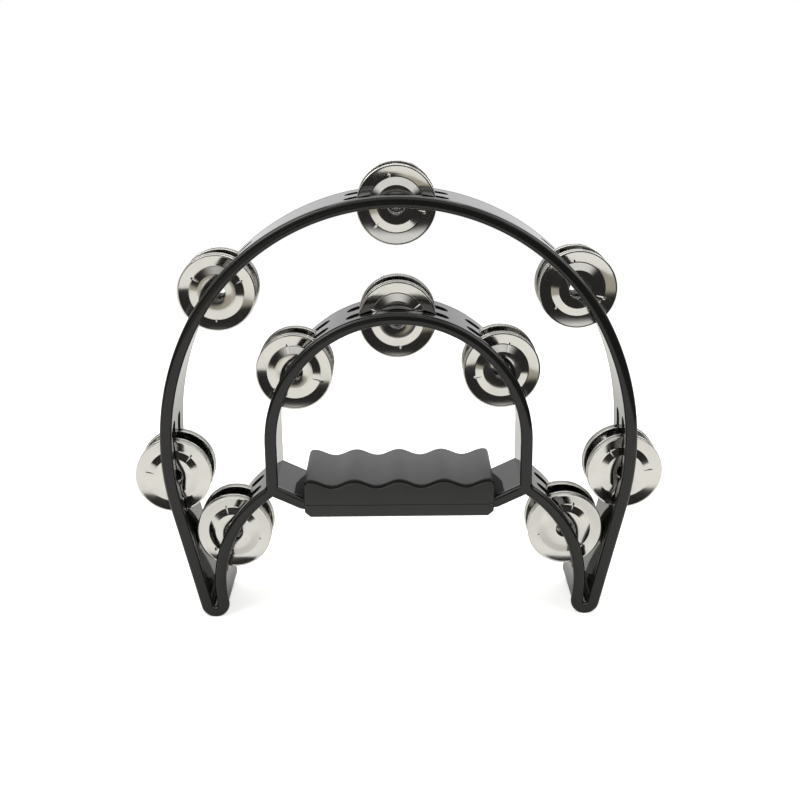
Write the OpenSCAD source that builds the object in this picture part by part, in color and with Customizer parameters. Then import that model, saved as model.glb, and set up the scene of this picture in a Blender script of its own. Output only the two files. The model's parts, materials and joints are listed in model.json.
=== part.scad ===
// Half-moon tambourine: one moulded frame of two arches, a two-piece finger grip on its handle bar,
// and ten stations where pairs of loose jingles hang on steel pins, in a front and a rear slot.
// The moulding is drawn as its outer arch, its inner arch and its handle bar, which meet face to face.
// Millimetres, +Z up. The leg tips stand on z = 0, and y = 0 is the middle of the depth.

/* [Frame section] */
// Depth of the frame from the front rim to the back rim
frame_depth = 48; // [44:0.5:60]
// Thickness of the band between its two rims
band_t = 4.4; // [3.8:0.1:6]
// Width of each rim, seen from the front
rim_w = 6.6; // [6:0.1:8]
// Depth of each rim, front to back
rim_depth = 4.5; // [3.5:0.1:6]

/* [Outer arch] */
// Centreline radius of the crown of the outer arch
outer_r = 124.4; // [118:0.1:134]
// Height of the crown's centre above the centre of the inner arch
outer_rise = 7.4; // [2:0.1:14]
// Angle from the top at which the crown passes into the flatter sides
crown_angle = 63; // [56:1:70]
// Centreline radius of the flatter sides
side_r = 148.7; // [138:0.1:165]

/* [Legs] */
// Distance of each leg tip inside the radius of the crown
foot_inset = 19.4; // [14:0.1:24]
// Drop from the inner arch centre to the centre of the turn at each leg tip
leg_drop = 95.5; // [88:0.5:105]
// Centreline radius of the turn at each leg tip
tip_r = 4.7; // [4.4:0.1:7]
// Centreline radius of the bowed inner side of each leg
bow_r = 67; // [58:0.5:80]
// Height cut off the round of each tip, which leaves a flat foot
foot_cut = 0.5; // [0.2:0.1:1]

/* [Inner arch and handle bar] */
// Centreline radius of the inner arch
inner_r = 70; // [66:0.1:76]
// Drop from the inner arch centre to the point where post, leg and handle bar meet
junction_drop = 26.8; // [22:0.1:32]
// Drop from that point to the level part of the handle bar
bar_drop = 8; // [5:0.1:11]

/* [Grip] */
// Length of the grip along the handle bar
grip_len = 104.5; // [92:0.5:112]
// Thickness of the grip in front of the bar and behind it
grip_wall = 1.55; // [1.2:0.05:3]
// Height of the finger crests above the parting plane
grip_crest = 15.1; // [11:0.1:20]
// Thickness of the lower half below its peg holes
grip_floor = 2; // [1.2:0.1:5]
// Spacing of the finger crests
finger_pitch = 24.6; // [20:0.1:28]
// Depth of the finger valleys below the crests
finger_dip = 3.4; // [1:0.1:5]
// Bevel along the long top edges
grip_edge = 2; // [0.5:0.1:3]
// Bevel at the ends of the underside
grip_bevel = 3; // [1:0.1:4]
// Radius along the long bottom edges
grip_round = 3; // [1:0.1:4]
// Diameter of the pegs that join the two halves through the bar
peg_d = 5; // [3:0.1:7]
// Distance of each peg from the middle
peg_x = 30; // [15:0.5:40]
// Depth of the pegs in the lower half
peg_grip = 3.2; // [2.4:0.1:6]
// Clearance round the pegs and the rims inside the grip
grip_fit = 0.2; // [0.1:0.05:0.5]

/* [Jingles] */
// Diameter of a jingle
jingle_d = 42; // [36:0.5:43]
// Height of a jingle from its brim to its ridge
jingle_h = 1.8; // [1.4:0.1:2.4]
// Thickness of the pressed sheet
sheet_t = 0.6; // [0.4:0.05:0.9]
// Width of the flat brim at the edge
brim_w = 0.8; // [0.4:0.1:2]
// Diameter of the ridge
ridge_d = 29.4; // [26:0.2:32]
// Width of the flat land on the ridge
ridge_land = 0.5; // [0.2:0.1:1.5]
// Diameter of the flat centre
dish_d = 20.8; // [17:0.2:23]
// Depth of the flat centre below the ridge
dish_depth = 1.2; // [0.5:0.1:1.2]
// Swell of the flange between its brim and the ridge
flange_swell = 0.12; // [0:0.02:0.3]
// Diameter of the hole that hangs on the pin
hole_d = 9.6; // [6:0.1:11]
// Gap between the ridges of a pair, which face each other
pair_gap = 2; // [1.7:0.1:3]
// Lean of a pair on its pin
jingle_lean = 2.5; // [0:0.1:4]

/* [Pins and slots] */
// Diameter of the pins
pin_d = 2; // [1.8:0.1:2.6]
// Gap between a pin and the edge of the hole that hangs on it
hang_gap = 0.3; // [0.1:0.05:0.6]
// Depth of the pin ends below the back rim
pin_sink = 0.6; // [0.2:0.1:1.5]
// Thickness of plastic in front of the blind end of a pin
pin_wall = 1.6; // [1:0.1:3]
// Room between the brim of a jingle and the wall of its slot
wall_room = 1.2; // [1.1:0.1:2]
// Length of a slot beyond the jingle at each end
slot_room = 7; // [6.5:0.1:8]
// Width of the bridge between the front and the rear slot
bridge_w = 8.8; // [6:0.1:12]

/* [Stations] */
// Angle of the two upper outer stations from the top
upper_angle = 51; // [46:0.5:55]
// Angle of the two lower outer stations below level, on the flatter sides
lower_angle = 5.8; // [2:0.1:8]
// Angle of the two inner side stations from the top
inner_angle = 54; // [50:0.5:60]
// Angle of the two leg stations above level, on the bows
leg_angle = 27.4; // [24:0.1:30]

/* [Hidden] */
$fn = 96;
// How far a cut runs past the solid
past = 1;
plastic = [0.11, 0.11, 0.11];
grip_plastic = [0.2, 0.2, 0.2];
nickel = [0.86, 0.85, 0.82];
steel = [0.7, 0.7, 0.7];

function dir(a) = [cos(a), sin(a)];
function heading(v) = atan2(v[1], v[0]);
// Centre of a circle that passes p at distance rp and q at distance rq, on the right of the way p to q
function centre_beside(p, rp, q, rq) =
    let (d = norm(q - p), u = (q - p) / d)
    let (along = (rp * rp - rq * rq + d * d) / (2 * d))
    p + along * u + sqrt(rp * rp - along * along) * [u[1], -u[0]];

// Centreline of the right half, in the plane of the arches, from the inner arch centre at [0, 0]
crown_end = 90 - crown_angle;
crown_c = [0, outer_rise];
side_c = crown_c - (side_r - outer_r) * dir(crown_end);
foot_x = outer_r - foot_inset;
tip_c = [foot_x, -leg_drop];
side_to_tip = tip_c - side_c;
side_end = heading(side_to_tip) + acos((side_r - tip_r) / norm(side_to_tip));
leg_top = side_c + side_r * dir(side_end);
leg_end = tip_c + tip_r * dir(side_end);
junction = [inner_r, -junction_drop];
bow_c = centre_beside(junction, bow_r, tip_c, bow_r + tip_r);
bow_start = heading(tip_c - bow_c);
bow_end = heading(junction - bow_c);
crown_foot = crown_c + outer_r * dir(crown_end);
// Fullness of the round ties where two runs meet
tie_swell = 0.12;
bar_level = -junction_drop - bar_drop;
// Room between the end of the grip and the bend of the bar
bend_room = 1;
bar_bend = [grip_len / 2 + bend_room, bar_level];

// Grip sizes that follow from the bar inside it
grip_depth = frame_depth + 2 * (grip_fit + grip_wall);
peg_reach = band_t / 2 + peg_grip;
grip_below = peg_reach + grip_fit + grip_floor;
// Height and width of the bevel at each end of the crests
grip_end = 2.5;
// Straight steps along the wave of the crests
grip_steps = 68;

// Height that puts the feet on z = 0
arch_z = tip_r + rim_w / 2 - foot_cut - tip_c[1];

// Slots, rows and the hang of the jingles
slot_len = jingle_d + 2 * slot_room;
slot_w = pair_gap + 2 * jingle_h + 2 * wall_room;
row_y = (slot_w + bridge_w) / 2;
hang = (hole_d - pin_d) / 2 - hang_gap;
pin_front = -frame_depth / 2 + pin_wall;
pin_back = frame_depth / 2 - pin_sink;

// Each station: name, centre of its arc, radius, angle on the arc, share of the lean
OUTER_STATIONS = [
    ["outer_top", crown_c, outer_r, 90, 1],
    ["outer_left", crown_c, outer_r, 90 + upper_angle, -1],
    ["outer_right", crown_c, outer_r, 90 - upper_angle, 1],
    ["side_left", [-side_c[0], side_c[1]], side_r, 180 + lower_angle, -1],
    ["side_right", side_c, side_r, -lower_angle, 1]
];
INNER_STATIONS = [
    ["inner_top", [0, 0], inner_r, 90, -1],
    ["inner_left", [0, 0], inner_r, 90 + inner_angle, 1],
    ["inner_right", [0, 0], inner_r, 90 - inner_angle, -1],
    ["leg_left", [-bow_c[0], bow_c[1]], bow_r, 180 - leg_angle, 1],
    ["leg_right", bow_c, bow_r, leg_angle, -1]
];
STATIONS = concat(OUTER_STATIONS, INNER_STATIONS);
function station_pin(s) = s[1] + s[2] * dir(s[3]);

// Each jingle of a station: name, row it hangs in, way its open side faces
PLACES = [
    ["front_1", -1, -1],
    ["front_2", -1, 1],
    ["rear_1", 1, -1],
    ["rear_2", 1, 1]
];
function pin_name(s) = str("pin_", s[0]);
function jingle_name(s, p) = str("jingle_", s[0], "_", p[0]);

// Frame

// Runs of the centreline, drawn from the front as flat strips of width w

module arc_run(c, r, from, to, w) {
    far = 2 * (r + rim_w);
    translate(c) intersection() {
        difference() {
            circle(r + w / 2);
            circle(r - w / 2);
        }
        polygon(concat([[0, 0]], [for (i = [0 : 4]) far * dir(from + (to - from) * i / 4)]));
    }
}

module straight_run(p, q, w) {
    side = w / 2 * dir(heading(q - p) + 90);
    polygon([p - side, q - side, q + side, p + side]);
}

module tie(p, w) {
    translate(p) circle(w / 2 + tie_swell);
}

module both_sides() {
    children();
    mirror([1, 0]) children();
}

// Outer arch with the outer side and the tip of each leg
module outer_outline(w) {
    arc_run(crown_c, outer_r, crown_end, 180 - crown_end, w);
    both_sides() {
        arc_run(side_c, side_r, side_end, crown_end, w);
        straight_run(leg_top, leg_end, w);
        arc_run(tip_c, tip_r, bow_start - 180, side_end, w);
        for (p = [crown_foot, leg_top, leg_end]) tie(p, w);
    }
}

// Inner arch with its posts and the bowed inner side of each leg
module inner_outline(w) {
    arc_run([0, 0], inner_r, 0, 180, w);
    both_sides() {
        straight_run(junction, [inner_r, 0], w);
        arc_run(bow_c, bow_r, bow_start, bow_end, w);
        tie(junction, w);
    }
}

// Handle bar, to the middle of the posts
module bar_outline(w) {
    straight_run([-bar_bend[0], bar_level], bar_bend, w);
    both_sides() {
        straight_run(junction, bar_bend, w);
        tie(bar_bend, w);
    }
}

module outline(part, w) {
    if (part == "outer") outer_outline(w);
    if (part == "inner") inner_outline(w);
    if (part == "bar") bar_outline(w);
}

// The band with a wider rim along its front and its back edge
module moulding(part) {
    translate([0, 0, arch_z]) rotate([90, 0, 0]) {
        linear_extrude(frame_depth - rim_depth, center = true) outline(part, band_t);
        for (side = [-1, 1])
            translate([0, 0, side * (frame_depth - rim_depth) / 2])
                linear_extrude(rim_depth, center = true) outline(part, rim_w);
    }
}

// Places children at a station: x outwards across the band, y along the pin, z along the band
module at_station(s) {
    pin = station_pin(s);
    translate([pin[0], 0, arch_z + pin[1]]) rotate([0, -s[3], 0]) children();
}

module slot_cut(s) {
    inward = slot_len * slot_len / (8 * s[2]) + rim_w / 2;
    reach = inward + rim_w / 2;
    straight = slot_len - slot_w;
    translate([-inward, 0, 0]) {
        translate([0, -slot_w / 2, -straight / 2]) cube([reach, slot_w, straight]);
        for (end = [-1, 1])
            translate([0, 0, end * straight / 2]) rotate([0, 90, 0]) cylinder(h = reach, d = slot_w);
    }
}

module along_y(from, to, d) {
    translate([0, to, 0]) rotate([90, 0, 0]) cylinder(h = to - from, d = d);
}

// The two slots of a station and the blind bore of its pin
module station_cut(s) at_station(s) {
    for (row = [-1, 1]) translate([0, row * row_y, 0]) slot_cut(s);
    along_y(pin_front, frame_depth / 2 + past, pin_d);
}

module frame_outer() color(plastic) {
    foot_box = 4 * (tip_r + rim_w);
    difference() {
        moulding("outer");
        for (s = OUTER_STATIONS) station_cut(s);
        for (side = [-1, 1])
            translate([side * foot_x - foot_box / 2, -frame_depth / 2 - past, -foot_box])
                cube([foot_box, frame_depth + 2 * past, foot_box]);
    }
}

module frame_inner() color(plastic) difference() {
    moulding("inner");
    for (s = INNER_STATIONS) station_cut(s);
}

module frame_bar() color(plastic) difference() {
    moulding("bar");
    moulding("inner");
    for (side = [-1, 1])
        translate([side * peg_x, 0, arch_z + bar_level - rim_w])
            cylinder(h = 2 * rim_w, d = peg_d + 2 * grip_fit);
}

// Grip

function crest_height(x) = grip_crest - finger_dip * (1 - cos(360 * x / finger_pitch)) / 2;

// Outline of the upper half from the front, scaled in height by k for a sweep that is tipped over
module finger_outline(k, lift) {
    end_x = grip_len / 2 - grip_end;
    crest = [for (i = [0 : grip_steps]) let (x = -end_x + 2 * end_x * i / grip_steps)
        [x, k * (crest_height(x) + lift)]];
    low = -2 * grip_crest;
    polygon(concat(
        [[-grip_len / 2, low], [-grip_len / 2, k * (crest_height(end_x) + lift) - grip_end]],
        crest,
        [[grip_len / 2, k * (crest_height(end_x) + lift) - grip_end], [grip_len / 2, low]]
    ));
}

// The finger outline swept along the depth, tipped about the length by the given angle
module finger_sweep(tip) {
    lift = tip == 0 ? 0 : grip_depth / 2 * tan(abs(tip)) - grip_edge * tan(abs(tip) / 2);
    rotate([tip, 0, 0]) rotate([90, 0, 0])
        linear_extrude(3 * grip_depth, center = true) finger_outline(cos(tip), lift);
}

// Room for the handle bar: the rims with clearance, the band face to face
module bar_room_cut() {
    length = grip_len + 2 * past;
    rim_in = frame_depth / 2 - rim_depth - grip_fit;
    rim_wide = rim_depth + 2 * grip_fit;
    translate([-length / 2, -frame_depth / 2, -band_t / 2]) cube([length, frame_depth, band_t]);
    for (side = [-1, 1])
        translate([-length / 2, side * (rim_in + rim_wide / 2) - rim_wide / 2, -rim_w / 2 - grip_fit])
            cube([length, rim_wide, rim_w + 2 * grip_fit]);
}

module at_bar() {
    translate([0, 0, arch_z + bar_level]) children();
}

module grip_upper() color(grip_plastic) at_bar() {
    difference() {
        intersection() {
            translate([-grip_len / 2, -grip_depth / 2, 0]) cube([grip_len, grip_depth, grip_crest + past]);
            finger_sweep(0);
            finger_sweep(45);
            finger_sweep(-45);
        }
        bar_room_cut();
    }
    for (side = [-1, 1])
        translate([side * peg_x, 0, -peg_reach]) cylinder(h = peg_reach + rim_w, d = peg_d);
}

// Section of the lower half: flat at the parting plane, round along its two bottom edges
module lower_section() {
    translate([-grip_depth / 2, grip_round - grip_below]) square([grip_depth, grip_below - grip_round]);
    translate([grip_round - grip_depth / 2, -grip_below]) square([grip_depth - 2 * grip_round, grip_below]);
    for (side = [-1, 1])
        translate([side * (grip_depth / 2 - grip_round), grip_round - grip_below]) circle(grip_round);
}

module grip_lower() color(grip_plastic) at_bar() {
    half = grip_len / 2;
    difference() {
        intersection() {
            rotate([90, 0, 0]) linear_extrude(grip_depth, center = true) polygon([
                [-half, 0], [half, 0], [half, grip_bevel - grip_below],
                [half - grip_bevel, -grip_below], [grip_bevel - half, -grip_below],
                [-half, grip_bevel - grip_below]
            ]);
            rotate([90, 0, 90]) linear_extrude(grip_len, center = true) lower_section();
        }
        bar_room_cut();
        for (side = [-1, 1])
            translate([side * peg_x, 0, -peg_reach - grip_fit])
                cylinder(h = peg_reach + past, d = peg_d + 2 * grip_fit);
    }
}

// Pins and jingles

module pin(s) color(steel) at_station(s) along_y(pin_front, pin_back, pin_d);

// Half section of a jingle: x from its axis, y from its brim towards its ridge
module jingle_section() {
    flange_steps = 6;
    ridge_r = ridge_d / 2 + ridge_land / 2;
    brim_r = jingle_d / 2 - brim_w;
    flange_h = jingle_h - sheet_t;
    flange = [for (i = [0 : flange_steps]) let (u = i / flange_steps)
        [ridge_r + u * (brim_r - ridge_r), flange_h * (1 - u) + flange_swell * 4 * u * (1 - u)]];
    under = concat(
        [[hole_d / 2, flange_h - dish_depth], [dish_d / 2, flange_h - dish_depth],
            [ridge_r - ridge_land, flange_h]],
        flange,
        [[jingle_d / 2, 0]]
    );
    last = len(under) - 1;
    polygon(concat(under, [for (i = [last : -1 : 0]) under[i] + [0, sheet_t]]));
}

module jingle(s, p) color(nickel) {
    pin = station_pin(s);
    translate([pin[0], p[1] * row_y, arch_z + pin[1]])
        rotate(a = s[4] * jingle_lean, v = [-sin(s[3]), 0, cos(s[3])])
            translate([0, p[2] * (pair_gap / 2 + jingle_h), -hang])
                rotate([p[2] * 90, 0, 0]) rotate_extrude() jingle_section();
}

frame_outer();
frame_inner();
frame_bar();
grip_upper();
grip_lower();
for (s = STATIONS) {
    pin(s);
    for (p = PLACES) jingle(s, p);
}
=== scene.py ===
import json
import math
import random
import bmesh
import bpy
from mathutils import Matrix, Vector


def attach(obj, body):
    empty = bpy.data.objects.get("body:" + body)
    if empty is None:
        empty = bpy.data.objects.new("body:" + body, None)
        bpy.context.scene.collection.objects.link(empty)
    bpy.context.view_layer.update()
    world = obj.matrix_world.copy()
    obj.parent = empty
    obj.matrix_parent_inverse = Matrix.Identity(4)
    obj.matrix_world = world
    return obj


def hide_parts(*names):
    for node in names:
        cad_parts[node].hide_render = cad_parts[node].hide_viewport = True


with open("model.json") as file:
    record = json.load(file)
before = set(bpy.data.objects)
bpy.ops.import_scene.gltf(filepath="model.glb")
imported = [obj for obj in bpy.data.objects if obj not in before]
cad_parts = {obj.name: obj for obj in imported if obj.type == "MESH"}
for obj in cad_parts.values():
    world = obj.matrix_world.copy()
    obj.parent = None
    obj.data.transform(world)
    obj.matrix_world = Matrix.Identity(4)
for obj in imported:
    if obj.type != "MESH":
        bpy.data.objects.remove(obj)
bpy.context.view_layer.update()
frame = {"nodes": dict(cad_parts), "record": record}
bodies = frame["record"]["behaviour"]["bodies"]
bodyOf = {node: body for body, nodes in bodies.items() for node in nodes}
mm = 0.001


# Small helpers

def linearColour(text):
    parts = [int(text[i:i + 2], 16) / 255 for i in (1, 3, 5)]
    return tuple(c / 12.92 if c <= 0.04045 else ((c + 0.055) / 1.055) ** 2.4 for c in parts) + (1.0,)


# A value is a constant, a socket, a node (its first output in use), or a list of sockets and nodes
def addNode(tree, kind, values=None, **settings):
    node = tree.nodes.new(kind)
    for name, value in settings.items():
        setattr(node, name, value)
    for name, value in (values or {}).items():
        for item in value if isinstance(value, list) else [value]:
            if isinstance(item, bpy.types.Node):
                item = next(socket for socket in item.outputs if socket.enabled)
            if isinstance(item, bpy.types.NodeSocket):
                tree.links.new(item, node.inputs[name])
            else:
                node.inputs[name].default_value = item
    return node


def along(angle, length=1.0):  # a flat vector at an angle in degrees
    return Vector((math.cos(math.radians(angle)), math.sin(math.radians(angle)))) * length


def heading(v):
    return math.degrees(math.atan2(v.y, v.x))


def arcPoints(centre, radius, start, end, step=1.6):  # step is the chord in mm
    count = max(4, math.ceil(abs(math.radians(end - start)) * radius / step))
    return [centre + along(start + (end - start) * i / count, radius) for i in range(count + 1)]


def roundCorners(points, radii, steps=4, closed=True):
    most = 0.48              # share of a side that one rounding may use
    out = []
    for i, (here, radius) in enumerate(zip(points, radii)):
        if not radius or (not closed and i in (0, len(points) - 1)):
            out.append(here)
            continue
        before = points[i - 1] - here
        after = points[(i + 1) % len(points)] - here
        half = before.angle(after) / 2
        cut = min(radius / math.tan(half), most * before.length, most * after.length)
        bisector = (before.normalized() + after.normalized()).normalized()
        centre = here + bisector * (cut / math.cos(half))
        arm = here + before.normalized() * cut - centre
        turn = arm.angle_signed(here + after.normalized() * cut - centre)
        for k in range(steps + 1):
            out.append(centre + Matrix.Rotation(-turn * k / steps, 2) @ arm)
    return out


def curveObject(name, lines):  # lines are (flat points in mm, closed)
    curve = bpy.data.curves.new(name, "CURVE")
    curve.dimensions = "3D"
    for points, closed in lines:
        spline = curve.splines.new("POLY")
        spline.points.add(len(points) - 1)
        spline.use_cyclic_u = closed
        for slot, p in zip(spline.points, points):
            slot.co = (p[0] * mm, p[1] * mm, 0, 1)
    obj = bpy.data.objects.new(name, curve)
    bpy.context.scene.collection.objects.link(obj)
    return obj


def newTree(name, inputs):
    tree = bpy.data.node_groups.new(name, "GeometryNodeTree")
    tree.interface.new_socket("Geometry", in_out="INPUT", socket_type="NodeSocketGeometry")
    for label, kind in inputs.items():
        tree.interface.new_socket(label, in_out="INPUT", socket_type=kind)
    tree.interface.new_socket("Geometry", in_out="OUTPUT", socket_type="NodeSocketGeometry")
    return tree, addNode(tree, "NodeGroupInput").outputs


def grown(name, source, tree, values):  # runs a tree on an object and keeps the result as a plain mesh
    modifier = source.modifiers.new(tree.name, "NODES")
    modifier.node_group = tree
    for item in tree.interface.items_tree:
        if item.in_out == "INPUT" and item.name in values:
            modifier[item.identifier] = values[item.name]
    bpy.context.view_layer.update()
    evaluated = source.evaluated_get(bpy.context.evaluated_depsgraph_get())
    mesh = bpy.data.meshes.new_from_object(evaluated)
    mesh.name = name
    source.modifiers.remove(modifier)
    bpy.data.objects.remove(source)
    return mesh


def finishMesh(mesh, sharpAngle):  # edges that turn by more than this many degrees stay sharp
    work = bmesh.new()
    work.from_mesh(mesh)
    bmesh.ops.remove_doubles(work, verts=work.verts, dist=0.001 * mm)
    bmesh.ops.recalc_face_normals(work, faces=work.faces)
    work.to_mesh(mesh)
    work.free()
    mesh.shade_smooth()
    mesh.set_sharp_from_angle(angle=math.radians(sharpAngle))
    return mesh


def addPiece(name, mesh, nodes):
    obj = bpy.data.objects.new(name, mesh)
    bpy.context.scene.collection.objects.link(obj)
    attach(obj, bodyOf[nodes[0]])
    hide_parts(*nodes)
    return obj


# Materials: a texture's scale is one over the size of its grain in metres

def newMaterial(name):
    material = bpy.data.materials.new(name)
    material.use_nodes = True
    tree = material.node_tree
    tree.nodes.clear()
    return material, tree, addNode(tree, "ShaderNodeTexCoord").outputs["Object"]


# Black ABS from a polished mould: deep and even, with a sheen that turns to a mirror at a glancing angle
def makeBlackAbs():
    material, tree, place = newMaterial("blackAbs")
    flow = addNode(tree, "ShaderNodeTexNoise", {"Vector": place, "Scale": 26.0, "Detail": 3.0})  # 40 mm clouds
    tone = addNode(tree, "ShaderNodeMix", {"Factor": flow, "A": linearColour("#191919"),
                                           "B": linearColour("#20201f")}, data_type="RGBA")
    gloss = addNode(tree, "ShaderNodeMapRange", {"Value": flow, "To Min": 0.05, "To Max": 0.1})
    grain = addNode(tree, "ShaderNodeTexNoise", {"Vector": place, "Scale": 1400.0})  # 0.7 mm
    bump = addNode(tree, "ShaderNodeBump", {"Height": grain, "Strength": 0.012, "Distance": 0.0001})
    shader = addNode(tree, "ShaderNodeBsdfPrincipled", {"Base Color": tone, "Roughness": gloss,
                                                        "Normal": bump, "IOR": 1.42})
    addNode(tree, "ShaderNodeOutputMaterial", {"Surface": shader})
    return material


# Soft PVC with a fine mould texture: a dull dark grey with a faint sheen on the flat top
def makeSoftPvc():
    material, tree, place = newMaterial("softPvc")
    cloud = addNode(tree, "ShaderNodeTexNoise", {"Vector": place, "Scale": 45.0, "Detail": 4.0})  # 22 mm
    tone = addNode(tree, "ShaderNodeMix", {"Factor": cloud, "A": linearColour("#1a1a19"),
                                           "B": linearColour("#212120")}, data_type="RGBA")
    grain = addNode(tree, "ShaderNodeTexNoise", {"Vector": place, "Scale": 1800.0, "Detail": 2.0})  # 0.6 mm
    gloss = addNode(tree, "ShaderNodeMapRange", {"Value": grain, "To Min": 0.36, "To Max": 0.46})
    bump = addNode(tree, "ShaderNodeBump", {"Height": grain, "Strength": 0.25, "Distance": 0.0001})
    shader = addNode(tree, "ShaderNodeBsdfPrincipled", {"Base Color": tone, "Roughness": gloss,
                                                        "Normal": bump, "IOR": 1.52})
    addNode(tree, "ShaderNodeOutputMaterial", {"Surface": shader})
    return material


# Nickel plate on pressed steel: a mirror with faint press rings and handling haze
def makeNickelPlate():
    material, tree, place = newMaterial("nickelPlate")
    haze = addNode(tree, "ShaderNodeTexNoise", {"Vector": place, "Scale": 130.0, "Detail": 4.0})  # 8 mm
    gloss = addNode(tree, "ShaderNodeMapRange", {"Value": haze, "From Min": 0.35, "From Max": 0.75,
                                                 "To Min": 0.075, "To Max": 0.135})
    tone = addNode(tree, "ShaderNodeMix", {"Factor": haze, "A": linearColour("#dbdad7"),
                                           "B": linearColour("#cdccc8")}, data_type="RGBA")
    pressed = addNode(tree, "ShaderNodeAttribute", attribute_name="pressMap").outputs["Vector"]
    rings = addNode(tree, "ShaderNodeTexWave", {"Vector": pressed, "Scale": 380.0, "Distortion": 0.3, "Detail": 1.0},
                    wave_type="RINGS", rings_direction="Z")  # 0.8 mm apart, coarser than real so that they show
    bump = addNode(tree, "ShaderNodeBump", {"Height": rings.outputs["Fac"], "Strength": 0.006, "Distance": 0.0001})
    shader = addNode(tree, "ShaderNodeBsdfPrincipled", {"Base Color": tone, "Roughness": gloss,
                                                        "Normal": bump, "Metallic": 1.0})
    addNode(tree, "ShaderNodeOutputMaterial", {"Surface": shader})
    return material


# Drawn steel wire: grey metal with fine lines along the pin
def makeDrawnSteel():
    material, tree, place = newMaterial("drawnSteel")
    lines = addNode(tree, "ShaderNodeMapping", {"Vector": place, "Scale": (2500.0, 60.0, 2500.0)})  # 0.4 mm apart
    noise = addNode(tree, "ShaderNodeTexNoise", {"Vector": lines, "Scale": 1.0, "Detail": 2.0})
    gloss = addNode(tree, "ShaderNodeMapRange", {"Value": noise, "To Min": 0.25, "To Max": 0.45})
    shader = addNode(tree, "ShaderNodeBsdfPrincipled", {"Base Color": linearColour("#b9b8b4"),
                                                        "Roughness": gloss, "Metallic": 1.0})
    addNode(tree, "ShaderNodeOutputMaterial", {"Surface": shader})
    return material


blackAbs = makeBlackAbs()
softPvc = makeSoftPvc()
nickelPlate = makeNickelPlate()
drawnSteel = makeDrawnSteel()
print("materials made")


# Frame: one closed loop through both arches and legs, and the handle bar, swept with a rimmed section

arches = {
    "height": 103.0,         # inner arch centre above the feet
    "innerRadius": 70.0,
    "crownRadius": 124.4,
    "crownRise": 7.4,
    "crownAngle": 63.0,
    "sideRadius": 148.7,
    "tip": (105.0, -95.5),   # centre of the turn at a leg tip
    "tipRadius": 4.7,
    "tipStep": 0.4,          # chord along that tight turn
    "legSteps": 30,
    "bowRadius": 67.0,
    "junctionDrop": 26.8,
    "postSteps": 12,
    "kink": 3.4,             # length of the soft bend at a junction
    "kinkPull": 0.55,        # how far the bend clings to its two runs
    "barDrop": 8.0,
    "barBend": 53.25,
    "barRound": 6.0,
    "footReach": 4.0,        # the rear edge is drawn down to the table over this height
    "sharpAngle": 32,
}
section = {
    "Frame Depth": 48.0,
    "Band Thickness": 4.4,
    "Rim Width": 6.6,
    "Rear Width": 4.6,       # the rear edge is all but flush with the band
    "Rim Depth": 4.5,
    "Edge Radius": 2.0,
    "Slot Length": 56.0,
    "Slot Width": 8.0,
    "Row Offset": 8.4,
    "Pin Diameter": 2.0,
    "Pin Sink": 0.6,
}
cutting = {
    "slotFrom": -9.0,        # the slots are cut from inside the band's middle to outside it
    "slotTo": 4.0,
    "slotEnd": 0.498,        # radius of a slot's ends as a share of its width, just short of half
    "slotSteps": 8,
    "edgeSteps": 4,
    "boreSides": 24,
}
stationAngles = {"upper": 51.0, "lower": 5.8, "inner": 54.0, "leg": 27.4}


def softBend(before, here, after, ahead, steps=7):  # a smooth curve between two runs that meet at an angle
    pull = (here - before).length * arches["kinkPull"]
    b = before + (here - before).normalized() * pull
    c = after - (ahead - after).normalized() * pull
    line = []
    for i in range(1, steps):
        t = i / steps
        s = 1 - t
        line.append(before * s ** 3 + b * 3 * t * s ** 2 + c * 3 * t * t * s + after * t ** 3)
    return line


crownEnd = 90 - arches["crownAngle"]
crownCentre = Vector((0, arches["crownRise"]))
innerCentre = Vector((0, 0))
sideCentre = crownCentre - along(crownEnd, arches["sideRadius"] - arches["crownRadius"])
tipCentre = Vector(arches["tip"])
sideToTip = tipCentre - sideCentre
legSlant = math.acos((arches["sideRadius"] - arches["tipRadius"]) / sideToTip.length)
sideEnd = heading(sideToTip) + math.degrees(legSlant)
junction = Vector((arches["innerRadius"], -arches["junctionDrop"]))
bowToTip = arches["bowRadius"] + arches["tipRadius"]
reach = tipCentre - junction
forward = (arches["bowRadius"] ** 2 - bowToTip ** 2 + reach.length_squared) / (2 * reach.length)
aside = Vector((reach.y, -reach.x)).normalized() * math.sqrt(arches["bowRadius"] ** 2 - forward ** 2)
bowCentre = junction + reach.normalized() * forward + aside
bowStart = heading(tipCentre - bowCentre)
bowEnd = heading(junction - bowCentre)
bowTurn = math.degrees(arches["kink"] / arches["bowRadius"])

innerHalf = arcPoints(innerCentre, arches["innerRadius"], 90, 0)
bowHalf = arcPoints(bowCentre, arches["bowRadius"], bowEnd - bowTurn, bowStart)
postTop = innerHalf[-1]
postFoot = junction + Vector((0, arches["kink"]))
rightHalf = innerHalf + [postTop.lerp(postFoot, (k + 1) / arches["postSteps"]) for k in range(arches["postSteps"])]
rightHalf += softBend(postFoot, junction, bowHalf[0], bowHalf[1]) + bowHalf
rightHalf += arcPoints(tipCentre, arches["tipRadius"], bowStart - 180, sideEnd, arches["tipStep"])[1:]
legTop = sideCentre + along(sideEnd, arches["sideRadius"])
legFoot = rightHalf[-1]
rightHalf += [legFoot.lerp(legTop, k / arches["legSteps"]) for k in range(1, arches["legSteps"])]
rightHalf += arcPoints(sideCentre, arches["sideRadius"], sideEnd, crownEnd)
rightHalf += arcPoints(crownCentre, arches["crownRadius"], crownEnd, 90)[1:]
leftHalf = [Vector((-p.x, p.y)) for p in reversed(rightHalf[1:-1])]
barLevel = junction.y - arches["barDrop"]
barCorners = [Vector((-junction.x, junction.y)), Vector((-arches["barBend"], barLevel)),
              Vector((arches["barBend"], barLevel)), junction]
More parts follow.
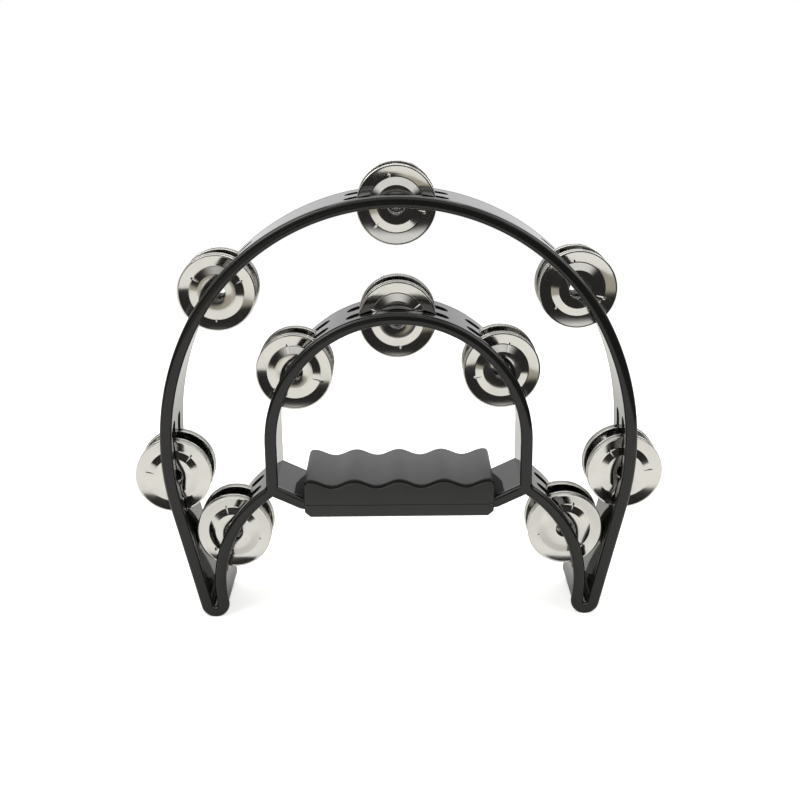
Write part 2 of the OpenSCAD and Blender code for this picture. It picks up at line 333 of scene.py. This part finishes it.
barLine = roundCorners(barCorners, [0, arches["barRound"], arches["barRound"], 0], closed=False)
centreline = curveObject("centreline", [(rightHalf + leftHalf, True), (barLine, False)])

stations = {                 # name: centre of its arc, radius, angle on the arc
    "outer_top": (crownCentre, arches["crownRadius"], 90),
    "outer_left": (crownCentre, arches["crownRadius"], 90 + stationAngles["upper"]),
    "outer_right": (crownCentre, arches["crownRadius"], 90 - stationAngles["upper"]),
    "side_left": (Vector((-sideCentre.x, sideCentre.y)), arches["sideRadius"], 180 + stationAngles["lower"]),
    "side_right": (sideCentre, arches["sideRadius"], -stationAngles["lower"]),
    "inner_top": (innerCentre, arches["innerRadius"], 90),
    "inner_left": (innerCentre, arches["innerRadius"], 90 + stationAngles["inner"]),
    "inner_right": (innerCentre, arches["innerRadius"], 90 - stationAngles["inner"]),
    "leg_left": (Vector((-bowCentre.x, bowCentre.y)), arches["bowRadius"], 180 - stationAngles["leg"]),
    "leg_right": (bowCentre, arches["bowRadius"], stationAngles["leg"]),
}
pinPlaces = {name: centre + along(angle, radius) for name, (centre, radius, angle) in stations.items()}
stationMesh = bpy.data.meshes.new("stationPoints")
stationMesh.from_pydata([(p.x * mm, p.y * mm, 0) for p in pinPlaces.values()], [], [])
turns = stationMesh.attributes.new("turn", "FLOAT", "POINT")
for item, (centre, radius, angle) in zip(turns.data, stations.values()):
    item.value = math.radians(angle)
stationPoints = bpy.data.objects.new("stationPoints", stationMesh)
bpy.context.scene.collection.objects.link(stationPoints)


def makeBandTree():
    tree, size = newTree("rimmedBand", {label: "NodeSocketFloat" for label in section})
    flat = addNode(tree, "GeometryNodeSetCurveNormal", {"Curve": size["Geometry"]}, mode="Z_UP")

    # A rounded bar along the rear and the front edge, and the plain band between them
    inset = addNode(tree, "ShaderNodeMath", {0: size["Frame Depth"], 1: size["Rim Depth"]}, operation="SUBTRACT")
    bars = []
    for label, side in (("Rear Width", 0.5), ("Rim Width", -0.5)):
        plain = addNode(tree, "GeometryNodeCurvePrimitiveQuadrilateral",
                        {"Width": size[label], "Height": size["Rim Depth"]})
        rounded = addNode(tree, "GeometryNodeFilletCurve",
                          {"Curve": plain, "Count": cutting["edgeSteps"], "Radius": size["Edge Radius"],
                           "Limit Radius": True}, mode="POLY")
        shift = addNode(tree, "ShaderNodeMath", {0: inset, 1: side}, operation="MULTIPLY")
        offset = addNode(tree, "ShaderNodeCombineXYZ", {"Y": shift})
        bars.append(addNode(tree, "GeometryNodeTransform", {"Geometry": rounded, "Translation": offset}))
    edges = addNode(tree, "GeometryNodeJoinGeometry", {"Geometry": bars})
    middle = addNode(tree, "GeometryNodeCurvePrimitiveQuadrilateral",
                     {"Width": size["Band Thickness"], "Height": inset})
    skins = []
    for outline in (edges, middle):  # the union makes one skin of the loop and the handle bar
        sweep = addNode(tree, "GeometryNodeCurveToMesh",
                        {"Curve": flat, "Profile Curve": outline, "Fill Caps": True})
        skins.append(addNode(tree, "GeometryNodeMeshBoolean", {"Mesh 2": sweep, "Self Intersection": True},
                             operation="UNION", solver="EXACT"))

    # Two slots and one pin bore, as cutters for one station
    across = addNode(tree, "GeometryNodeCurvePrimitiveLine",
                     {"Start": (cutting["slotFrom"] * mm, 0, 0), "End": (cutting["slotTo"] * mm, 0, 0)})
    upright = addNode(tree, "GeometryNodeSetCurveNormal", {"Curve": across}, mode="Z_UP")
    slotPlain = addNode(tree, "GeometryNodeCurvePrimitiveQuadrilateral",
                        {"Width": size["Slot Length"], "Height": size["Slot Width"]})
    slotEnd = addNode(tree, "ShaderNodeMath", {0: size["Slot Width"], 1: cutting["slotEnd"]}, operation="MULTIPLY")
    slotOutline = addNode(tree, "GeometryNodeFilletCurve",
                          {"Curve": slotPlain, "Count": cutting["slotSteps"], "Radius": slotEnd,
                           "Limit Radius": True}, mode="POLY")
    slot = addNode(tree, "GeometryNodeCurveToMesh",
                   {"Curve": upright, "Profile Curve": slotOutline, "Fill Caps": True})
    rows = []
    for side in (1.0, -1.0):
        shift = addNode(tree, "ShaderNodeMath", {0: size["Row Offset"], 1: side}, operation="MULTIPLY")
        offset = addNode(tree, "ShaderNodeCombineXYZ", {"Z": shift})
        rows.append(addNode(tree, "GeometryNodeTransform", {"Geometry": slot, "Translation": offset}))
    slots = addNode(tree, "GeometryNodeJoinGeometry", {"Geometry": rows})
    boreRadius = addNode(tree, "ShaderNodeMath", {0: size["Pin Diameter"], 1: 0.5}, operation="MULTIPLY")
    boreDepth = addNode(tree, "ShaderNodeMath", {0: size["Pin Sink"], 1: 2.0}, operation="MULTIPLY")
    bore = addNode(tree, "GeometryNodeMeshCylinder",
                   {"Vertices": cutting["boreSides"], "Radius": boreRadius, "Depth": boreDepth})
    rearFace = addNode(tree, "ShaderNodeMath", {0: size["Frame Depth"], 1: -0.5}, operation="MULTIPLY")
    offset = addNode(tree, "ShaderNodeCombineXYZ", {"Z": rearFace})
    bores = addNode(tree, "GeometryNodeTransform", {"Geometry": bore, "Translation": offset})

    # The cutters at every station: bores into the edges, slots through the band
    points = addNode(tree, "GeometryNodeObjectInfo", {"Object": stationPoints}).outputs["Geometry"]
    turn = addNode(tree, "GeometryNodeInputNamedAttribute", {"Name": "turn"}, data_type="FLOAT")
    swing = addNode(tree, "ShaderNodeCombineXYZ", {"Z": turn})
    halves = []
    for skin, cutter in zip(skins, (bores, slots)):
        spots = addNode(tree, "GeometryNodeInstanceOnPoints",
                        {"Points": points, "Instance": cutter, "Rotation": swing})
        tools = addNode(tree, "GeometryNodeRealizeInstances", {"Geometry": spots})
        halves.append(addNode(tree, "GeometryNodeMeshBoolean", {"Mesh 1": skin, "Mesh 2": tools},
                              operation="DIFFERENCE", solver="EXACT"))
    whole = addNode(tree, "GeometryNodeJoinGeometry", {"Geometry": halves})
    stood = addNode(tree, "GeometryNodeTransform",
                    {"Geometry": whole, "Translation": (0, 0, arches["height"] * mm),
                     "Rotation": (math.radians(90), 0, 0)})
    real = addNode(tree, "GeometryNodeRealizeInstances", {"Geometry": stood})
    painted = addNode(tree, "GeometryNodeSetMaterial", {"Geometry": real, "Material": blackAbs})
    addNode(tree, "NodeGroupOutput", {"Geometry": painted})
    return tree


sectionSizes = {label: size * mm for label, size in section.items()}
frameMesh = grown("frameMoulding", centreline, makeBandTree(), sectionSizes)
bpy.data.objects.remove(stationPoints)
footReach = arches["footReach"] * mm
rearGap = (section["Rim Width"] - section["Rear Width"]) / 2 * mm
for vertex in frameMesh.vertices:   # flat feet, and the narrower rear edge drawn down to the same level
    if vertex.co.y > section["Row Offset"] * mm and vertex.co.z < footReach:
        vertex.co.z -= rearGap * (1 - vertex.co.z / footReach)
    vertex.co.z = max(vertex.co.z, 0.0)
finishMesh(frameMesh, arches["sharpAngle"])
addPiece("frameMoulding", frameMesh, ["frame_outer", "frame_inner", "frame_bar"])
print("frame made:", len(frameMesh.polygons), "faces")


# Grip: two moulded halves round the handle bar, the upper one with finger waves and a stepped long edge

grip = {
    "length": 104.5,
    "depth": 51.5,
    "crest": 15.1,           # height of the crests above the parting plane
    "below": 7.6,
    "pitch": 24.6,
    "dip": 3.4,
    "stepBack": 1.2,         # ledge along the long top edges
    "stepDown": 1.9,
    "ledgeRound": 0.5,
    "undercut": 0.9,         # the pad's lip overhangs the ledge
    "lip": 0.9,              # thickness of that lip
    "lipSlope": 0.8,         # share of that thickness left at its edge
    "lipRound": 0.2,
    "padRound": 0.7,
    "endRound": 2.2,
    "endSteps": 6,
    "sideRound": 0.9,
    "bevel": 3.0,            # slant at the ends of the underside
    "bottomRound": 3.0,
    "groove": 0.35,          # chamfer on each half that shows as the parting line
    "steps": 132,
    "sharpAngle": 40,
}
barZ = arches["height"] + barLevel


def gripStations(endRound):  # places along the length with the share of the end rounding, 0 in the middle
    inner = grip["length"] / 2 - endRound
    angles = [math.radians(90 * k / grip["endSteps"]) for k in range(1, grip["endSteps"] + 1)]
    ends = [(inner + endRound * math.sin(a), 1 - math.cos(a)) for a in angles]
    middle = [(-inner + 2 * inner * i / grip["steps"], 0.0) for i in range(grip["steps"] + 1)]
    return [(-x, s) for x, s in reversed(ends)] + middle + ends


def lofted(name, sections, material):
    work = bmesh.new()
    rings = [[work.verts.new((x * mm, y * mm, z * mm)) for y, z in loop] for x, loop in sections]
    for a, b in zip(rings, rings[1:]):
        for i in range(len(a)):
            j = (i + 1) % len(a)
            work.faces.new((a[i], a[j], b[j], b[i]))
    work.faces.new(rings[0])
    work.faces.new(rings[-1])
    mesh = bpy.data.meshes.new(name)
    work.to_mesh(mesh)
    work.free()
    mesh.materials.append(material)
    return finishMesh(mesh, grip["sharpAngle"])


def upperSection(x, share):
    wave = (1 - math.cos(2 * math.pi * x / grip["pitch"])) / 2
    top = grip["crest"] - grip["dip"] * wave - grip["endRound"] * share
    side = grip["depth"] / 2 - grip["sideRound"] * share
    ledge = top - grip["stepDown"]
    pad = side - grip["stepBack"]
    fold = pad - grip["undercut"]
    half = [(side - grip["groove"], 0.0), (side, grip["groove"]), (side, ledge), (fold, ledge),
            (fold, top - grip["lip"]), (pad, top - grip["lip"] * grip["lipSlope"]), (pad, top)]
    radii = [0, 0, grip["ledgeRound"], grip["lipRound"], grip["lipRound"], grip["lipRound"], grip["padRound"]]
    points = [Vector((-y, z)) for y, z in half] + [Vector((y, z)) for y, z in reversed(half)]
    return [(p.x, barZ + p.y) for p in roundCorners(points, radii + radii[::-1])]


def lowerSection(x, share):
    side = grip["depth"] / 2 - grip["sideRound"] * share
    floor = max(0.0, abs(x) - (grip["length"] / 2 - grip["bevel"])) - grip["below"]
    half = [(side - grip["groove"], 0.0), (side, -grip["groove"]), (side, floor)]
    radii = [0, 0, grip["bottomRound"]]
    points = [Vector((-y, z)) for y, z in half] + [Vector((y, z)) for y, z in reversed(half)]
    return [(p.x, barZ + p.y) for p in roundCorners(points, radii + radii[::-1], steps=6)]


upperLoops = [(x, upperSection(x, share)) for x, share in gripStations(grip["endRound"])]
lowerLoops = [(x, lowerSection(x, share)) for x, share in gripStations(grip["sideRound"])]
addPiece("gripUpper", lofted("gripUpper", upperLoops, softPvc), ["grip_upper"])
addPiece("gripLower", lofted("gripLower", lowerLoops, softPvc), ["grip_lower"])
print("grip made")


# Jingles: pressed from sheet, one section turned about its axis, with three stamped nicks on the ridge

jingle = {
    "diameter": 42.0,
    "height": 1.7,           # from the brim to the ridge
    "sheet": 0.6,
    "edgeRound": 0.22,       # of the sheet's cut edges
    "brim": 0.8,
    "ridge": 29.4,
    "ridgeRound": 0.5,
    "land": 0.5,
    "dish": 20.8,
    "dishDepth": 1.1,
    "dishRound": 1.0,
    "swell": 0.06,           # bulge of the flange between ridge and brim
    "flangeSteps": 8,
    "roundSteps": 3,
    "hole": 9.6,
    "brimOffset": 2.8,       # from the middle of a pair to each outward brim
    "hang": 3.5,             # the jingles' middle below their pin
    "lean": 2.5,
    "rowOffset": 8.4,
    "seed": 5,
    "sharpAngle": 40,
}
press = {
    "Resolution": 240,
    "Crowding": 0.3,         # more points near the nicks
    "Nick Radius": 14.8,
    "Nick Length": 0.8,
    "Nick Width": 0.45,
    "Nick Depth": 0.28,
}
nickCount = 3
turnRadius = 1.0             # the section is drawn this far off, because it is swept round a small circle


def jingleSection():
    ridge = (jingle["ridge"] + jingle["land"]) / 2
    brim = jingle["diameter"] / 2 - jingle["brim"]
    rise = jingle["height"] - jingle["sheet"]
    floor = rise - jingle["dishDepth"]
    steps = jingle["flangeSteps"]
    line = [(jingle["hole"] / 2, floor), (jingle["dish"] / 2, floor), (ridge - jingle["land"], rise)]
    radii = [0, jingle["dishRound"], jingle["ridgeRound"]]
    for i in range(steps + 1):
        u = i / steps
        line.append((ridge + u * (brim - ridge), rise * (1 - u) + jingle["swell"] * 4 * u * (1 - u)))
        radii.append(jingle["ridgeRound"] if i in (0, steps) else 0)
    line.append((jingle["diameter"] / 2, 0))
    radii.append(0)
    under = roundCorners([Vector(p) for p in line], radii, jingle["roundSteps"], closed=False)
    over = [p + Vector((0, jingle["sheet"])) for p in reversed(under)]
    loop = under + over
    edge = [0.0] * len(loop)
    for i in (0, len(under) - 1, len(under), len(loop) - 1):
        edge[i] = jingle["edgeRound"]
    return [p - Vector((turnRadius, 0)) for p in roundCorners(loop, edge, jingle["roundSteps"])]


def makeJingleTree():
    kinds = {label: "NodeSocketInt" if label == "Resolution" else "NodeSocketFloat" for label in press}
    tree, size = newTree("pressedJingle", kinds)

    # A circle whose points crowd towards the nicks, with the section swept round it
    index = addNode(tree, "GeometryNodeInputIndex")
    share = addNode(tree, "ShaderNodeMath", {0: index, 1: size["Resolution"]}, operation="DIVIDE")
    even = addNode(tree, "ShaderNodeMath", {0: share, 1: 2 * math.pi}, operation="MULTIPLY")
    often = addNode(tree, "ShaderNodeMath", {0: even, 1: nickCount}, operation="MULTIPLY")
    wave = addNode(tree, "ShaderNodeMath", {0: often}, operation="SINE")
    strength = addNode(tree, "ShaderNodeMath", {0: size["Crowding"], 1: nickCount}, operation="DIVIDE")
    crowd = addNode(tree, "ShaderNodeMath", {0: wave, 1: strength}, operation="MULTIPLY")
    angle = addNode(tree, "ShaderNodeMath", {0: even, 1: crowd}, operation="SUBTRACT")
    across = addNode(tree, "ShaderNodeMath", {0: angle}, operation="COSINE")
    ahead = addNode(tree, "ShaderNodeMath", {0: angle}, operation="SINE")
    unit = addNode(tree, "ShaderNodeCombineXYZ", {"X": across, "Y": ahead})
    spot = addNode(tree, "ShaderNodeVectorMath", {0: unit, "Scale": turnRadius * mm}, operation="SCALE")
    ring = addNode(tree, "GeometryNodeCurvePrimitiveCircle", {"Resolution": size["Resolution"]}, mode="RADIUS")
    path = addNode(tree, "GeometryNodeSetPosition", {"Geometry": ring, "Position": spot})
    level = addNode(tree, "GeometryNodeSetCurveNormal", {"Curve": path}, mode="Z_UP")
    shell = addNode(tree, "GeometryNodeCurveToMesh", {"Curve": level, "Profile Curve": size["Geometry"]})
    here = addNode(tree, "GeometryNodeInputPosition")
    mapped = addNode(tree, "GeometryNodeStoreNamedAttribute",
                     {"Geometry": shell, "Name": "pressMap", "Value": here},
                     data_type="FLOAT_VECTOR", domain="POINT")

    # Nicks: a bell-shaped dent at even turns, from the distance along and across each one
    halfTurn = math.pi / nickCount
    parts = addNode(tree, "ShaderNodeSeparateXYZ", {"Vector": here}).outputs
    flatSpot = addNode(tree, "ShaderNodeCombineXYZ", {"X": parts["X"], "Y": parts["Y"]})
    radius = addNode(tree, "ShaderNodeVectorMath", {0: flatSpot}, operation="LENGTH")
    turn = addNode(tree, "ShaderNodeMath", {0: parts["Y"], 1: parts["X"]}, operation="ARCTAN2")
    swing = addNode(tree, "ShaderNodeMath", {0: turn, 1: halfTurn, 2: -halfTurn}, operation="WRAP")
    sideways = addNode(tree, "ShaderNodeMath", {0: swing, 1: radius}, operation="MULTIPLY")
    lengthways = addNode(tree, "ShaderNodeMath", {0: radius, 1: size["Nick Radius"]}, operation="SUBTRACT")
    offSide = addNode(tree, "ShaderNodeMath", {0: sideways, 1: size["Nick Width"]}, operation="DIVIDE")
    offLong = addNode(tree, "ShaderNodeMath", {0: lengthways, 1: size["Nick Length"]}, operation="DIVIDE")
    off = addNode(tree, "ShaderNodeCombineXYZ", {"X": offSide, "Y": offLong})
    spread = addNode(tree, "ShaderNodeVectorMath", {0: off, 1: off}, operation="DOT_PRODUCT")
    fall = addNode(tree, "ShaderNodeMath", {0: spread, 1: -1.0}, operation="MULTIPLY")
    bell = addNode(tree, "ShaderNodeMath", {0: fall}, operation="EXPONENT")
    dent = addNode(tree, "ShaderNodeMath", {0: bell, 1: size["Nick Depth"]}, operation="MULTIPLY")
    down = addNode(tree, "ShaderNodeMath", {0: dent, 1: -1.0}, operation="MULTIPLY")
    sunk = addNode(tree, "ShaderNodeCombineXYZ", {"Z": down})
    nicked = addNode(tree, "GeometryNodeSetPosition", {"Geometry": mapped, "Offset": sunk})
    real = addNode(tree, "GeometryNodeRealizeInstances", {"Geometry": nicked})
    painted = addNode(tree, "GeometryNodeSetMaterial", {"Geometry": real, "Material": nickelPlate})
    addNode(tree, "NodeGroupOutput", {"Geometry": painted})
    return tree


pressSizes = {label: value * mm if label.startswith("Nick") else value for label, value in press.items()}
sectionCurve = curveObject("jingleSection", [(jingleSection(), True)])
jingleMesh = grown("jinglePressed", sectionCurve, makeJingleTree(), pressSizes)
finishMesh(jingleMesh, jingle["sharpAngle"])
leans = {"outer_left": -1, "side_left": -1, "inner_top": 0, "leg_right": -1}   # the others lean by 1
places = {                   # row, and the way that the open side faces
    "front_1": (-1, -1),
    "front_2": (-1, 1),
    "rear_1": (1, -1),
    "rear_2": (1, 1),
}
chance = random.Random(jingle["seed"])
for name, pin in pinPlaces.items():
    tangent = along(stations[name][2] + 90)
    leanAngle = math.radians(jingle["lean"]) * leans.get(name, 1)
    lean = Matrix.Rotation(leanAngle, 4, Vector((tangent.x, 0, tangent.y)))
    for place, (row, facing) in places.items():
        node = f"jingle_{name}_{place}"
        spin = Matrix.Rotation(chance.uniform(0, 2 * math.pi), 4, "Z")
        faced = Matrix.Rotation(math.radians(-90 * facing), 4, "X")
        hung = Vector((pin.x, row * jingle["rowOffset"], arches["height"] + pin.y)) * mm
        pair = Vector((0, facing * jingle["brimOffset"], -jingle["hang"])) * mm
        mesh = jingleMesh.copy()
        mesh.transform(Matrix.Translation(hung) @ lean @ Matrix.Translation(pair) @ faced @ spin)
        words = node.split("_")
        addPiece(words[0] + "".join(w.capitalize() for w in words[1:]), mesh, [node])
print("jingles made:", len(jingleMesh.polygons), "faces each")

for name in pinPlaces:
    pinObject = frame["nodes"]["pin_" + name]
    pinObject.data.materials.clear()
    pinObject.data.materials.append(drawnSteel)
print("pins dressed")


# Stage: a white table of a studio's size, a white backdrop behind, and a dim room in front below the horizon

stage = {
    "table": ((-0.6, -0.92), (0.6, -0.2), (0.6, 0.7), (-0.6, 0.7)),
    "tableTone": "#e8e7e2",
    "tableGlow": 0.62,       # lifts the table to white for the camera
    "tableSheen": 0.08,      # the same in mirror images
    "domeLight": 0.55,
    "roomLow": "#2f2e2d",
    "roomLeft": "#b3ad9f",   # pale floor to the left in front
    "roomHigh": "#f6f5f2",
}
zones = {                    # axis of the direction, where the zone starts and where it is full
    "front": ("Y", 0.35, -0.05),
    "high": ("Z", 0.15, 0.28),
    "left": ("X", 0.02, -0.09),
    "low": ("Z", -0.08, -0.16),
}
lamps = {                    # place, size and watts of each soft lamp, aimed at the object
    "keyLamp": ((-0.75, -0.55, 1.1), 0.7, 6.0),
    "fillLamp": ((0.85, -0.35, 0.9), 0.7, 4.0),
    "topLamp": ((0.0, 0.25, 1.3), 0.9, 7.5),
}
view = {
    "lens": 56.376,
    "sensor": 36.0,
    "target": (0.00097, 0.0, 0.12088),
    "distance": 0.6994,
    "elevation": 17.49,
    "roll": -0.55,
}

tableMesh = bpy.data.meshes.new("table")
tableMesh.from_pydata([(x, y, 0) for x, y in stage["table"]], [], [(0, 1, 2, 3)])
table = bpy.data.objects.new("table", tableMesh)
bpy.context.scene.collection.objects.link(table)
paper = bpy.data.materials.new("whitePaper")
paper.use_nodes = True
paperTree = paper.node_tree
paperTree.nodes.clear()
ray = addNode(paperTree, "ShaderNodeLightPath").outputs
mirrored = addNode(paperTree, "ShaderNodeMath", {0: ray["Is Glossy Ray"], 1: ray["Is Transmission Ray"]},
                   operation="MAXIMUM")
seen = addNode(paperTree, "ShaderNodeMath", {0: ray["Is Camera Ray"], 1: mirrored}, operation="MAXIMUM")
glow = addNode(paperTree, "ShaderNodeMapRange", {"Value": ray["Is Camera Ray"], "To Min": stage["tableSheen"],
                                                 "To Max": stage["tableGlow"]})
strength = addNode(paperTree, "ShaderNodeMath", {0: seen, 1: glow}, operation="MULTIPLY")
lit = addNode(paperTree, "ShaderNodeBsdfDiffuse", {"Color": linearColour(stage["tableTone"])})
shine = addNode(paperTree, "ShaderNodeEmission", {"Strength": strength})
both = addNode(paperTree, "ShaderNodeAddShader", {0: lit, 1: shine})
addNode(paperTree, "ShaderNodeOutputMaterial", {"Surface": both})
tableMesh.materials.append(paper)

world = bpy.data.worlds.new("studio")
bpy.context.scene.world = world
world.use_nodes = True
skyTree = world.node_tree
skyTree.nodes.clear()
ray = addNode(skyTree, "ShaderNodeLightPath").outputs
direction = addNode(skyTree, "ShaderNodeTexCoord").outputs["Generated"]
way = addNode(skyTree, "ShaderNodeSeparateXYZ", {"Vector": direction}).outputs
zone = {}
for name, (axis, start, full) in zones.items():
    zone[name] = addNode(skyTree, "ShaderNodeMapRange", {"Value": way[axis], "From Min": start, "From Max": full},
                         interpolation_type="SMOOTHSTEP")
pale = addNode(skyTree, "ShaderNodeMath", {0: zone["left"], 1: zone["low"]}, operation="MULTIPLY")
ground = addNode(skyTree, "ShaderNodeMix", {"Factor": pale, "A": linearColour(stage["roomLow"]),
                                            "B": linearColour(stage["roomLeft"])}, data_type="RGBA")
room = addNode(skyTree, "ShaderNodeMix", {"Factor": zone["high"], "A": ground,
                                          "B": linearColour(stage["roomHigh"])}, data_type="RGBA")
hidden = addNode(skyTree, "ShaderNodeMath", {0: 1.0, 1: ray["Is Camera Ray"]}, operation="SUBTRACT")
inRoom = addNode(skyTree, "ShaderNodeMath", {0: zone["front"], 1: hidden}, operation="MULTIPLY")
tint = addNode(skyTree, "ShaderNodeMix", {"Factor": inRoom, "A": (1, 1, 1, 1), "B": room}, data_type="RGBA")
mirrored = addNode(skyTree, "ShaderNodeMath", {0: ray["Is Glossy Ray"], 1: ray["Is Transmission Ray"]},
                   operation="MAXIMUM")
seen = addNode(skyTree, "ShaderNodeMath", {0: ray["Is Camera Ray"], 1: mirrored}, operation="MAXIMUM")
level = addNode(skyTree, "ShaderNodeMapRange", {"Value": seen, "To Min": stage["domeLight"], "To Max": 1.0})
sky = addNode(skyTree, "ShaderNodeBackground", {"Color": tint, "Strength": level})
addNode(skyTree, "ShaderNodeOutputWorld", {"Surface": sky})

target = Vector(view["target"])
for name, (place, size, watts) in lamps.items():
    light = bpy.data.lights.new(name, "AREA")
    light.shape = "SQUARE"
    light.size = size
    light.energy = watts
    lamp = bpy.data.objects.new(name, light)
    lamp.location = place
    lamp.rotation_euler = (target - Vector(place)).to_track_quat("-Z", "Y").to_euler()
    bpy.context.scene.collection.objects.link(lamp)

lift = math.radians(view["elevation"])
back = Vector((0, -math.cos(lift), math.sin(lift)))
camera = bpy.data.cameras.new("camera")
camera.lens = view["lens"]
camera.sensor_width = view["sensor"]
cameraObject = bpy.data.objects.new("camera", camera)
cameraObject.location = target + back * view["distance"]
cameraObject.rotation_euler = ((-back).to_track_quat("-Z", "Y").to_matrix()
                               @ Matrix.Rotation(math.radians(view["roll"]), 3, "Z")).to_euler()
bpy.context.scene.collection.objects.link(cameraObject)
bpy.context.scene.camera = cameraObject
bpy.context.scene.view_settings.view_transform = "Standard"
print("stage and camera set")
